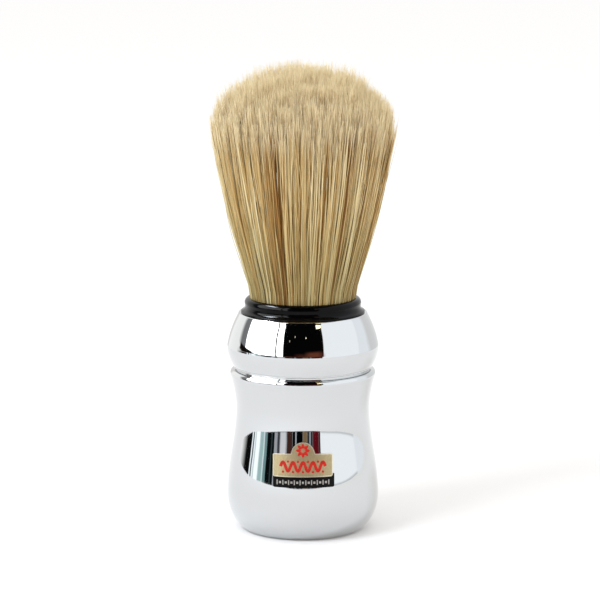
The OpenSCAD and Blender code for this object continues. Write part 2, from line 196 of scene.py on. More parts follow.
def packed_bristle_shade():
    # The inside of the bundle: its dark gold is painted shade deep between the outer bristles, and it
    # shows pale ends under the tips. The streaks are far wider than a bristle, so that they show at all.
    material, tree, out = new_material("packed_bristle_shade")
    place = add(tree, "ShaderNodeTexCoord").outputs["Object"]
    squeeze = add(tree, "ShaderNodeMapping", Vector=place, Scale=(1, 1, 0.05))
    streak = add(tree, "ShaderNodeTexNoise", Vector=squeeze.outputs["Vector"], Scale=grain_size(0.5),
                 Detail=2.0)
    # Painted shade: the browns of the bundle's shaded inside.
    tone = ramp(tree, streak.outputs["Fac"], [(0.3, "#3a2008"), (0.5, "#5e3c14"), (0.7, "#8a602a")])
    ends = add(tree, "ShaderNodeTexNoise", Vector=place, Scale=grain_size(0.8), Detail=3.0)
    tips = ramp(tree, ends.outputs["Fac"], [(0.35, "#8a6a38"), (0.5, "#dcc48e"), (0.7, "#f8eccb")])
    height = add(tree, "ShaderNodeSeparateXYZ", Vector=place).outputs["Z"]
    near_tips = add(tree, "ShaderNodeMapRange", Value=height, From_Min=tip_z - 24 * MM,
                    From_Max=tip_z - 14 * MM)
    mixed = add(tree, "ShaderNodeMix", {"data_type": "RGBA"}, Factor=near_tips.outputs["Result"],
                i6=tone, i7=tips)
    shader = add(tree, "ShaderNodeBsdfPrincipled", Base_Color=mixed.outputs[2], Roughness=0.8)
    tree.links.new(shader.outputs["BSDF"], out.inputs["Surface"])
    return material


def stamped_brass_foil(name, dark, light, rough):
    # Brass-coloured foil, brushed and lacquered: a satin sheen with upright brushing. Real brush lines
    # are finer than 0.12 mm, and are drawn that wide so that they show.
    material, tree, out = new_material(name)
    place = add(tree, "ShaderNodeTexCoord").outputs["Object"]
    stretch = add(tree, "ShaderNodeMapping", Vector=place, Scale=(1, 1, 0.06))
    brush = add(tree, "ShaderNodeTexNoise", Vector=stretch.outputs["Vector"], Scale=grain_size(0.12),
                Detail=3.0)
    tone = ramp(tree, brush.outputs["Fac"], [(0.3, dark), (0.7, light)])
    relief = add(tree, "ShaderNodeBump", Height=brush.outputs["Fac"], Strength=0.2, Distance=0.00002)
    shader = add(tree, "ShaderNodeBsdfPrincipled", Base_Color=tone, Metallic=0.85, Roughness=rough,
                 Normal=relief.outputs["Normal"])
    tree.links.new(shader.outputs["BSDF"], out.inputs["Surface"])
    return material


def enamel_ink(name, color, rough, ior=1.45):
    # Thick screen-printed ink or lacquer: an even colour, a little mottled by the squeegee.
    material, tree, out = new_material(name)
    place = add(tree, "ShaderNodeTexCoord").outputs["Object"]
    mottle = add(tree, "ShaderNodeTexNoise", Vector=place, Scale=grain_size(0.4), Detail=2.0)
    dark = "#" + "".join("%02x" % int(int(color[i:i + 2], 16) * 0.82) for i in (1, 3, 5))
    tone = ramp(tree, mottle.outputs["Fac"], [(0.3, dark), (0.7, color)])
    shader = add(tree, "ShaderNodeBsdfPrincipled", Base_Color=tone, Roughness=rough, IOR=ior)
    tree.links.new(shader.outputs["BSDF"], out.inputs["Surface"])
    return material


def turned_metal(name, color, rough, grain_mm):
    # Machined metal: turning marks as fine rings across the axis, which vary its gloss.
    material, tree, out = new_material(name)
    place = add(tree, "ShaderNodeTexCoord").outputs["Object"]
    squeeze = add(tree, "ShaderNodeMapping", Vector=place, Scale=(0.1, 0.1, 1))
    marks = add(tree, "ShaderNodeTexNoise", Vector=squeeze.outputs["Vector"], Scale=grain_size(grain_mm),
                Detail=2.0)
    gloss = add(tree, "ShaderNodeMapRange", Value=marks.outputs["Fac"], To_Min=rough * 0.8,
                To_Max=rough * 1.3)
    shader = add(tree, "ShaderNodeBsdfPrincipled", Base_Color=srgb(color), Metallic=1.0,
                 Roughness=gloss.outputs["Result"])
    tree.links.new(shader.outputs["BSDF"], out.inputs["Surface"])
    return material


def moulded_filler(name, color, rough, grain_mm):
    # Rubber, resin or waxed cord: one colour, and a sheen that its own grain breaks up.
    material, tree, out = new_material(name)
    place = add(tree, "ShaderNodeTexCoord").outputs["Object"]
    grain = add(tree, "ShaderNodeTexNoise", Vector=place, Scale=grain_size(grain_mm), Detail=2.0)
    relief = add(tree, "ShaderNodeBump", Height=grain.outputs["Fac"], Strength=0.3, Distance=0.0001)
    shader = add(tree, "ShaderNodeBsdfPrincipled", Base_Color=srgb(color), Roughness=rough,
                 Normal=relief.outputs["Normal"])
    tree.links.new(shader.outputs["BSDF"], out.inputs["Surface"])
    return material


# ------------------------------------------------------------- modelling

def wear(piece, material):
    """Gives a piece its material."""
    piece.data.materials.clear()
    piece.data.materials.append(material)


def arc(center_r, center_z, radius, start, stop, steps):
    """Points (r, z) around a circle, from one angle to another in degrees."""
    angles = np.radians(np.linspace(start, stop, steps + 1))
    return [(center_r + radius * math.cos(a), center_z + radius * math.sin(a)) for a in angles]


def turn(name, outline, sides=160, closed=True):
    """Turns an outline of (r, z) points about the Z axis, as on a lathe."""
    bpy.ops.object.select_all(action="DESELECT")
    bpy.ops.mesh.primitive_plane_add(size=MM, location=(0, 0, 0))
    piece = bpy.context.active_object
    piece.name = name
    bpy.ops.object.mode_set(mode="EDIT")
    bpy.ops.mesh.select_all(action="SELECT")
    bpy.ops.mesh.merge(type="CENTER")
    points = list(outline) + ([outline[0]] if closed else [])
    r, z = points[0]
    bpy.ops.transform.translate(value=(r, 0, z))
    for next_r, next_z in points[1:]:
        bpy.ops.mesh.extrude_vertices_move(TRANSFORM_OT_translate={"value": (next_r - r, 0, next_z - z)})
        r, z = next_r, next_z
    bpy.ops.mesh.select_all(action="SELECT")
    bpy.ops.mesh.spin(steps=sides, angle=2 * math.pi, center=(0, 0, 0), axis=(0, 0, 1))
    bpy.ops.mesh.select_all(action="SELECT")
    bpy.ops.mesh.remove_doubles(threshold=0.001 * MM)
    bpy.ops.mesh.normals_make_consistent(inside=False)
    bpy.ops.object.mode_set(mode="OBJECT")
    return piece


def smooth(piece, degrees):
    """Shades smooth, but keeps edges sharper than this angle."""
    bpy.ops.object.select_all(action="DESELECT")
    piece.select_set(True)
    bpy.context.view_layer.objects.active = piece
    bpy.ops.object.shade_smooth_by_angle(angle=math.radians(degrees))


# Outline of the plated body, from the foot up, as the frame's own solid has it.
waist_r = belly_r - 2.5 * MM
lip_r = belly_r - 0.85 * MM
foot_r = belly_r - 5 * MM
belly_z = 10.5 * MM
waist_z = 34.5 * MM
lip_round = 1.2 * MM
flare_tilt = math.radians(17)
foot_curve = 2.4
foot_fullness = 0.8
flare_curve = 1.6
guide_r = seal_out_r - 1.55 * MM  # bore that takes the ferrule's cup, in body and collar alike
lip_center = (lip_r - lip_round, parting_z - lip_round)
flare_end_r = lip_center[0] + lip_round * math.cos(flare_tilt)
flare_end_z = lip_center[1] - lip_round * math.sin(flare_tilt)


def body_radius(z):
    """Outer radius of the plated body at a height."""
    if z < belly_z:
        return foot_r + (belly_r - foot_r) * (1 - (1 - z / belly_z) ** foot_curve) ** foot_fullness
    if z < waist_z:
        swing = math.cos(math.pi * (z - belly_z) / (waist_z - belly_z))
        return waist_r + (belly_r - waist_r) * (1 + swing) / 2
    return waist_r + (flare_end_r - waist_r) * ((z - waist_z) / (flare_end_z - waist_z)) ** flare_curve


def heights(low, high, steps):
    """Evenly spaced values from low to high, both included."""
    return [float(z) for z in np.linspace(low, high, steps + 1)]


def plated_body():
    """The waisted body: foot, belly, waist, rounded lip, spigot, bore and the seat of the cap."""
    spigot_r = guide_r + 1.95 * MM
    cap_bore_r = foot_r - 1.35 * MM
    foot_edge = 0.12 * MM
    screw_hole_r = 2.2 * MM
    web_top_z = web_z + 2 * MM
    ballast_bore_r = ballast_r + 0.1 * MM
    foot_steps = 30
    outline = [(cap_bore_r, foot_edge), (cap_bore_r + foot_edge, 0), (foot_r - foot_edge, 0)]
    for i in range(1, foot_steps + 1):
        z = belly_z * (1 - math.cos(math.pi / 2 * i / foot_steps))
        outline.append((body_radius(z), z))
    outline += [(body_radius(z), z) for z in heights(belly_z, waist_z, 40)[1:]]
    outline += [(body_radius(z), z) for z in heights(waist_z, flare_end_z, 20)[1:]]
    outline += arc(*lip_center, lip_round, -math.degrees(flare_tilt), 90, 18)[1:]
    outline += [
        (spigot_r, parting_z), (spigot_r, spigot_top_z), (guide_r, spigot_top_z),
        (guide_r, web_top_z), (screw_hole_r, web_top_z), (screw_hole_r, web_z),
        (ballast_bore_r, web_z), (ballast_bore_r, cap_seat_z), (cap_bore_r, cap_seat_z)
    ]
    piece = turn("plated_body", outline, sides=192)
    smooth(piece, 30)
    return piece


def plated_collar():
    """The ridged collar: parting groove, bulging skirt, crisp ridge and long slope to the ferrule."""
    bore_r = guide_r + 2.0 * MM
    skirt_r = bore_r + 1.85 * MM
    ridge_r = skirt_r + 1.9 * MM
    groove_h = 0.6 * MM
    groove_r = skirt_r - 0.7 * MM
    ridge_z = parting_z + 6.7 * MM
    ridge_soft = 0.45 * MM
    ridge_tip = 0.02 * MM
    edge = 0.5 * MM
    top_r = flange_r + 0.8 * MM
    slope_bow = 0.36 * MM
    skirt_z = parting_z + groove_h
    skirt_edge = 0.25 * MM
    seal_seat_r = seal_out_r + 0.05 * MM
    web_low_z = seal_z - 2.5 * MM
    rise = ridge_z - skirt_z
    run = collar_top_z - edge - ridge_z

    def skirt(z):
        return ridge_r - (ridge_r - skirt_r) * ((ridge_z - z) / rise) ** 2

    def slope(u):
        return ridge_r + (top_r - ridge_r) * u + slope_bow * 4 * u * (1 - u)

    outline = [(bore_r, parting_z), (groove_r, parting_z), (groove_r, skirt_z)]
    outline += arc(skirt(skirt_z + skirt_edge) - skirt_edge, skirt_z + skirt_edge, skirt_edge, -90, 0, 6)
    outline += [(skirt(z), z) for z in heights(skirt_z + skirt_edge, ridge_z - ridge_soft, 24)[1:]]
    # The ridge is rounded along a short curve from the skirt to the slope.
    u_soft = ridge_soft / run
    start = (skirt(ridge_z - ridge_soft), ridge_z - ridge_soft)
    corner = (ridge_r + ridge_tip, ridge_z)
    end = (slope(u_soft), ridge_z + ridge_soft)
    for t in heights(0, 1, 8)[1:]:
        outline.append(tuple((1 - t) ** 2 * a + 2 * t * (1 - t) * b + t ** 2 * c
                             for a, b, c in zip(start, corner, end)))
    outline += [(slope(u), ridge_z + run * u) for u in heights(u_soft, 1, 32)[1:]]
    outline += arc(top_r - edge, collar_top_z - edge, edge, 15, 90, 8)
    outline += [
        (seal_seat_r, collar_top_z), (seal_seat_r, seal_z), (guide_r, seal_z), (guide_r, web_low_z),
        (bore_r, web_low_z)
    ]
    piece = turn("plated_collar", outline, sides=192)
    smooth(piece, 30)
    return piece


def black_ferrule():
    """The black ring: flange, hollowed neck and rounded bead, with the cup and its stem below."""
    cup_r = flange_r - 1.9 * MM
    bore_r = cup_r - 1.6 * MM
    neck_r = cup_r + 0.75 * MM
    bead = 1.4 * MM
    bead_r = neck_r - bead + 0.15 * MM
    mouth_r = bead_r - 0.1 * MM
    edge_top = collar_top_z + 0.45 * MM
    stem_r = 6 * MM
    insert_bore_r = insert_r + 0.02 * MM
    insert_bore_z = insert_top_z + 0.2 * MM
    cup_floor_z = mouth_z - 16.5 * MM
    cup_base_z = cup_floor_z - 2.5 * MM
    edge = 0.15 * MM
    outline = [(insert_bore_r, stem_z), (stem_r, stem_z), (stem_r, cup_base_z), (cup_r, cup_base_z),
               (cup_r, collar_top_z)]
    outline += arc(flange_r - edge, collar_top_z + edge, edge, -90, 0, 4)
    outline += arc(flange_r - edge, edge_top - edge, edge, 0, 60, 4)
    # the hollow neck between flange and bead
    outline += [(flange_r - 0.5 * MM, edge_top + 0.22 * MM), (neck_r + 0.22 * MM, edge_top + 0.55 * MM),
                (neck_r + 0.03 * MM, edge_top + 0.95 * MM)]
    outline += arc(bead_r, mouth_z - bead, bead, -18, 98, 22)
    outline += [(mouth_r, mouth_z - 0.3 * MM), (bore_r, mouth_z - 7 * MM), (bore_r, cup_floor_z),
                (0, cup_floor_z), (0, insert_bore_z), (insert_bore_r, insert_bore_z)]
    piece = turn("black_ferrule", outline, sides=160)
    smooth(piece, 40)
    return piece


# ---------------------------------------------------------------- label

def laid(name, place, columns, rows, lift, thickness):
    """A foil laid on the body's front, lifted off it by lift. place(s, t) gives its (x, z) for s along
    and t across it, both from 0 to 1."""
    bpy.ops.object.select_all(action="DESELECT")
    bpy.ops.mesh.primitive_grid_add(x_subdivisions=columns, y_subdivisions=rows, size=2)
    piece = bpy.context.active_object
    piece.name = name
    for vertex in piece.data.vertices:
        x, z = place((vertex.co.x + 1) / 2, (vertex.co.y + 1) / 2)
        radius = body_radius(z) + lift
        vertex.co = (x, FRONT * math.sqrt(radius ** 2 - x ** 2), z)
    bpy.ops.object.mode_set(mode="EDIT")
    bpy.ops.mesh.select_all(action="SELECT")
    bpy.ops.mesh.remove_doubles(threshold=0.002 * MM)
    bpy.ops.mesh.normals_make_consistent(inside=False)
    bpy.ops.object.mode_set(mode="OBJECT")
    if sum(p.normal.y for p in piece.data.polygons) > 0:
        piece.data.flip_normals()
    wall = piece.modifiers.new("wall", "SOLIDIFY")
    wall.thickness = thickness
    wall.offset = 1
    bpy.ops.object.modifier_apply(modifier=wall.name)
    smooth(piece, 35)
    return piece


def foil(name, left, right, bottom, top, lift, thickness, columns=60, rows=14):
    """A foil between two edges given as functions of x. Its columns crowd towards its ends, where its
    corners turn."""
    def place(s, t):
        x = (left + right) / 2 + (right - left) / 2 * math.sin(math.pi * (s - 0.5))
        return x, bottom(x) + (top(x) - bottom(x)) * t
    return laid(name, place, columns, rows, lift, thickness)


def ribbon(name, path, width, lift, thickness):
    """A narrow foil along a path of (x, z) points, as wide at each share of its length as width says."""
    path = np.array(path)
    count = len(path) - 1
    slopes = np.gradient(path, axis=0)
    if np.allclose(path[0], path[-1]):
        slopes[0] = slopes[-1] = path[1] - path[-2]
    slopes /= np.linalg.norm(slopes, axis=1)[:, None]

    def place(s, t):
        i = round(s * count)
        across = (t - 0.5) * width(s)
        return path[i][0] - slopes[i][1] * across, path[i][1] + slopes[i][0] * across
    return laid(name, place, count, 1, lift, thickness)


def join(name, pieces):
    """Makes one piece of several."""
    bpy.ops.object.select_all(action="DESELECT")
    for piece in pieces:
        piece.select_set(True)
    bpy.context.view_layer.objects.active = pieces[0]
    bpy.ops.object.join()
    pieces[0].name = name
    return pieces[0]


tab_r = 3.1 * MM
shoulder_z = panel_high.z - tab_r
corner_r = 0.45 * MM
shoulder_dip = 0.15 * MM
ink_lift = 0.295 * MM
ink_t = 0.05 * MM


def rounded_edge(left, right, level, radius, sign):
    """Height of a straight edge at x, with rounded ends: sign +1 for a top edge, -1 for a bottom one."""
    def height(x):
        past = max(0.0, left + radius - x, x - (right - radius))
        return level - sign * (radius - math.sqrt(max(radius ** 2 - past ** 2, 0)))
    return height


def panel_top(x):
    """Top edge of the panel: straight shoulders that dip a little towards the corners, and the tab."""
    left, right = panel_low.x, panel_high.x
    shoulder = rounded_edge(left, right, shoulder_z, corner_r, 1)(x) - shoulder_dip * (x / right) ** 2
    tab = shoulder_z + math.sqrt(max(tab_r ** 2 - x ** 2, 0)) if abs(x) < tab_r else 0
    return max(shoulder, tab)


def label_backing_foil():
    """The dark foil: a strip below the panel that turns up past its right-hand corner."""
    left, right = label_low.x, label_high.x
    return foil("label_strip", left, right, rounded_edge(left, right, label_low.z, corner_r, -1),
                rounded_edge(left, right, panel_low.z + 0.8 * MM, 0.2 * MM, 1), 0.02 * MM, 0.13 * MM)


def label_panel_foil():
    """The brass panel with its half-round tab."""
    left, right = panel_low.x, panel_high.x
    return foil("label_panel_plate", left, right, rounded_edge(left, right, panel_low.z, corner_r, -1),
                panel_top, 0.05 * MM, 0.24 * MM, columns=150, rows=16)


def label_rim():
    """The raised rim around the panel, paler than the panel as a painted highlight."""
    left, right = panel_low.x, panel_high.x
    half = 0.13 * MM
    spacing = 0.12 * MM
    bottom = rounded_edge(left, right, panel_low.z, corner_r, -1)
    inset = 1 - half / right
    across = [right * math.sin(math.pi * (i / 90 - 0.5)) for i in range(91)]
    path = [(x * inset, bottom(x) + half) for x in across]
    path += [(x * inset, panel_top(x) - half) for x in across[::-1]]
    path.append(path[0])
    even = [path[0]]
    for point in path[1:]:
        if math.dist(point, even[-1]) > spacing:
            even.append(point)
    even[-1] = path[0]
    return ribbon("label_rim", even, lambda s: 2 * half, 0.05 * MM, 0.31 * MM)


def leaf(name, x, z, length, width, turn_deg):
    """A pointed leaf that grows from (x, z)."""
    lean = math.radians(turn_deg)
    path = [(x + length * s * math.sin(lean), z + length * s * math.cos(lean)) for s in heights(0, 1, 14)]
    tip_w = 0.02 * MM
    return ribbon(name, path, lambda s: tip_w + width * math.sin(math.pi * s ** 0.8), ink_lift, ink_t)


def label_red_marks():
    """The red print: a rosette of petals on the tab, and a wave with dots along the panel."""
    rosette_z = shoulder_z + 0.9 * MM
    eye_r = 0.5 * MM
    petals = 8
    pieces = []
    for i in range(petals):
        turn_deg = 360 / petals * i
        lean = math.radians(turn_deg)
        pieces.append(leaf(f"petal_{i}", eye_r * math.sin(lean), rosette_z + eye_r * math.cos(lean),
                           1.5 * MM, 0.85 * MM, turn_deg))
    wave_z = (panel_low.z + shoulder_z) / 2 - 0.3 * MM
    wave_h = 1.2 * MM
    turns = 4.5
    reach = 6.1 * MM
    sweep = [((s - 0.5) * 2 * reach, wave_z + wave_h * math.sin(2 * math.pi * turns * s))
             for s in np.linspace(0, 1, 160)]
    pieces.append(ribbon("wave", sweep, lambda s: 0.8 * MM, ink_lift, ink_t))
    dots = 9
    for i in range(dots):
        dot_z = wave_z + (1.0 if i % 2 else -1.75) * MM
        pieces.append(leaf(f"dot_{i}", (i - 4) * 2 * reach / dots, dot_z, 0.75 * MM, 0.65 * MM, 0))
    return join("label_red_marks", pieces)


def label_silver_marks():
    """The silver print: a border of upright bars, tall and short by turns."""
    strip_z = (label_low.z + panel_low.z) / 2
    count = 19
    spacing = 0.78 * MM
    bars = []
    for i in range(count):
        half_h = (0.3 if i % 2 else 0.66) * MM
        thick = (0.55 if i % 2 else 0.3) * MM
        x = (i - (count - 1) / 2) * spacing
        path = [(x, strip_z - half_h), (x, strip_z), (x, strip_z + half_h)]
        bars.append(ribbon(f"silver_{i}", path, lambda s, w=thick: w, 0.155 * MM, ink_t))
    return join("label_silver_marks", bars)


# -------------------------------------------------------------- bristles

dome_h = 17.9 * MM
fan_z = tip_z - dome_h
mouth_r = fan_r - 11 * MM
fan_lean = 0.14  # how steeply the bristles still lean outwards above the widest place
split_z = low_bend_z + 8 * MM  # where the lower and upper stretches of each bristle meet
random = np.random.default_rng(7)


def fan_radius(z):
    """Radius of the whole fan at a height. Above its widest place the bristles still lean outwards."""
    u = np.clip((z - roots_top_z) / (fan_z - roots_top_z), 0, 1)
    above = np.maximum(z - fan_z, 0)
    belly = 0.08 * np.sin(math.pi * u)
    return mouth_r + (fan_r - mouth_r) * (u + belly) + fan_lean * above


def rise(z):
    """0 at the ferrule's mouth and 1 at the very tip."""
    return np.clip((z - mouth_z) / (tip_z - mouth_z), 0, 1)


def sunflower(count):
    """Evenly spread points of the unit disc, each pushed a little off its place."""
    index = np.arange(count) + 0.5
    share = np.sqrt(index / count)
    golden_angle = math.pi * (3 - math.sqrt(5))
    angle = index * golden_angle
    points = share[:, None] * np.stack([np.cos(angle), np.sin(angle)], axis=-1)
    return points + random.normal(0, 0.35 / math.sqrt(count), (count, 2))


# The bristles cling to each other in thin strands of a few, and the strands in wisps.
wisps = sunflower(640)
wisp_rise = random.normal(0, 0.9, len(wisps)) * MM
wisp_tone = random.normal(0, 0.13, len(wisps))
strands = sunflower(3600)


def nearest(points, centers):
    """Index of the nearest centre to each point, found a few thousand points at a time."""
    found = []
    for part in np.array_split(points, max(1, len(points) // 2000)):
        gap = ((part[:, None, :] - centers[None, :, :]) ** 2).sum(axis=-1)
        found.append(np.argmin(gap, axis=1))
    return np.concatenate(found)


def sow(count, inner, outer, tone, thick, ragged, dark_share=0.004, dark_at=()):
    """Chooses where each bristle of a ring grows, its tone and thickness, and how it wanders. inner and
    outer are shares of the bundle's radius, ragged is how far the tips end short on average, and dark_at
    lists the (angle, share) of bristles that are dark from root to tip."""
    dark_r = 0.17 * MM
    share = np.sqrt(random.uniform(inner ** 2, outer ** 2, count))
    angle = random.uniform(0, 2 * math.pi, count)
    radius = random.uniform(thick * 0.72, thick * 1.3, count)
    for i, (turn_deg, share_at) in enumerate(dark_at):
        angle[i] = math.radians(turn_deg)
        share[i] = share_at
        radius[i] = dark_r
    outward = np.stack([np.cos(angle), np.sin(angle)], axis=-1)
    aside = outward[:, ::-1] * (-1, 1)
    root = share[:, None] * outward
    wisp = nearest(root, wisps)
    strand = nearest(root, strands)
    tint = np.clip(random.normal(tone, 0.18, count) + 1.3 * wisp_tone[wisp], 0.09, 1)
    tint[random.uniform(size=count) < dark_share] = 0.03
    tint[:len(dark_at)] = 0
    # The tips end on a dome. A bristle leans outwards over the dome's height, about a tenth of the
    # bundle's radius, so it meets the dome further out and ends lower.
    spread = share * (1 + 0.098 * np.sqrt(1 - share ** 2))
    dome = dome_h * np.sqrt(1 - np.minimum(spread, 0.998) ** 2)
    top = fan_z - 0.9 * MM + dome + wisp_rise[wisp]
    top -= random.exponential(ragged, count)
    top = np.minimum(top, tip_z - 0.1 * MM)
    wisp_hold = random.uniform(0.5, 1.0, count)
    strand_hold = random.uniform(0.4, 0.95, count)
    lean_aside = np.clip(random.standard_t(3, (count, 1)) * 0.8, -3.2, 3.2)
    lean_out = np.clip(random.normal(0, 0.45, (count, 1)), -1.2, 0.8)
    return {
        "root": root, "tint": tint, "radius": radius, "top": top, "count": count,
        "to_wisp": (wisps[wisp] - root) * wisp_hold[:, None],
        "to_strand": (strands[strand] - root) * strand_hold[:, None],
        "lean": (aside * lean_aside + outward * lean_out) * MM,
        "curl": random.normal(0, 0.9, (count, 2)) * MM,
        "wave": random.normal(0, 0.24, (count, 2)) * MM,
        "phase": random.uniform(0, 2 * math.pi, count),
    }


def bristle_points(seed, z):
    """Where each bristle is at each of its own heights z (count x stations)."""
    u = rise(z)[..., None]
    # It joins its strand just above the ferrule and its wisp further up, and comes looser at the tip.
    to_strand = np.clip(u * 5, 0, 1)
    to_wisp = np.sin(math.pi / 2 * np.clip(u / 0.7, 0, 1)) ** 2
    loosen = 1 - 0.12 * np.clip((u - 0.7) / 0.3, 0, 1)
    pull = seed["to_strand"][:, None, :] * to_strand
    pull = pull + (seed["to_wisp"][:, None, :] - pull * 0.5) * to_wisp * loosen
    place = (seed["root"][:, None, :] + pull) * fan_radius(z)[..., None]
    place = place + seed["lean"][:, None, :] * u ** 1.2 + seed["curl"][:, None, :] * u ** 6
    swing = np.sin(2 * math.pi * (1.7 * u + seed["phase"][:, None, None]))
    place = place + seed["wave"][:, None, :] * swing * u
    return np.concatenate([place, z[..., None]], axis=-1)


def grow(name, seed, low, high, stations, sides=3):
    """One mesh of many bristles: a three-sided strand is swept along each one's own path.
    low and high are heights, and high is None for the bristle's own tip."""
    count = seed["count"]
    steps = np.linspace(0, 1, stations)[None, :]
    low = np.full(count, low) if np.isscalar(low) else low
    high = seed["top"] if high is None else np.full(count, high)
    # The stations lie closer together near the foot, where the bundle bends.
    z = low[:, None] + (high - low)[:, None] * steps ** 1.2
    path = bristle_points(seed, z)
    along = np.clip(rise(z) / rise(seed["top"])[:, None], 0, 1)
    taper = seed["radius"][:, None] * (1 - 0.8 * along ** 5)
    turns = seed["phase"][:, None, None] + np.arange(sides) * 2 * math.pi / sides
    ring = np.stack([np.cos(turns), np.sin(turns), np.zeros_like(turns)], axis=-1)
    verts = (path[:, :, None, :] + taper[:, :, None, None] * ring).reshape(-1, 3)
    strand = np.arange(count)[:, None, None] * stations * sides
    station = np.arange(stations - 1)[None, :, None] * sides
    side = np.arange(sides)[None, None, :]
    a = strand + station + side
    b = strand + station + (side + 1) % sides
    quads = np.stack([a, b, b + sides, a + sides], axis=-1).reshape(-1, 4)
    foot = strand[:, 0, :] + np.arange(sides)[None, ::-1]
    tip = strand[:, 0, :] + (stations - 1) * sides + np.arange(sides)[None, :]
    caps = np.concatenate([foot, tip])
    mesh = bpy.data.meshes.new(name)
    mesh.vertices.add(len(verts))
    mesh.vertices.foreach_set("co", verts.astype(np.float32).ravel())
    loops = np.concatenate([caps.ravel(), quads.ravel()])
    mesh.loops.add(len(loops))
    mesh.loops.foreach_set("vertex_index", loops.astype(np.int32))
    sizes = np.concatenate([np.full(len(caps), sides), np.full(len(quads), 4)])
    mesh.polygons.add(len(sizes))
    starts = np.concatenate([[0], np.cumsum(sizes)[:-1]])
    mesh.polygons.foreach_set("loop_start", starts.astype(np.int32))
    mesh.polygons.foreach_set("loop_total", sizes.astype(np.int32))
    mesh.update(calc_edges=True)
    # Flat faces: on strands this thin, smooth ones shade each other wrongly.
    mesh.polygons.foreach_set("use_smooth", np.zeros(len(sizes), bool))
    # Painted shade: inside the bundle, a bristle is darker gold below its tip.
    inside = 1 - np.clip(np.linalg.norm(seed["root"], axis=1), 0, 1) ** 6
    bundle_shade = np.clip((seed["top"][:, None] - z) / (13 * MM), 0, 1) * inside[:, None]
    tint = seed["tint"][:, None] * (1 - 0.25 * bundle_shade)
    for key, values in (("tint", tint), ("along", along)):
        attribute = mesh.attributes.new(key, "FLOAT", "POINT")
        attribute.data.foreach_set("value", np.repeat(values.ravel(), sides).astype(np.float32))
    piece = bpy.data.objects.new(name, mesh)
    bpy.context.scene.collection.objects.link(piece)
    return piece


def core(name, low, side_top, steps, shares, domed):
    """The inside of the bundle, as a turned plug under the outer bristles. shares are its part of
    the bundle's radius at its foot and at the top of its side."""
    outline = [(0, low)]
    for z in heights(low, side_top, steps):
        share = shares[0] + (shares[1] - shares[0]) * ((z - low) / (side_top - low)) ** 3
        outline.append((float(fan_radius(z)) * share, z))
    if domed:
        half_w = float(fan_radius(side_top)) * shares[1]
        outline += [(half_w * math.cos(a), side_top + dome_h * math.sin(a))
                    for a in heights(0, math.pi / 2, 15)[1:-1]]
        outline.append((0, side_top + dome_h))
    else:
        outline.append((0, side_top))
    piece = turn(name, outline, sides=96, closed=False)
    smooth(piece, 60)
    return piece


# ---------------------------------------------------------------- studio

def floor():
    """A pale paper sweep, a hair's breadth under the foot."""
    bpy.ops.mesh.primitive_circle_add(vertices=96, radius=4.0, fill_type="NGON",
                                     location=(0, 0, foot_z - 0.02 * MM))
    piece = bpy.context.active_object
    piece.name = "floor"
    # Uncoated white paper: matt, with no sheen at all.
    material, tree, out = new_material("white_paper")
    shader = add(tree, "ShaderNodeBsdfPrincipled", Base_Color=srgb("#fcfbfa"), Roughness=0.9,
                 Specular_IOR_Level=0.0)
    tree.links.new(shader.outputs["BSDF"], out.inputs["Surface"])
    piece.data.materials.append(material)


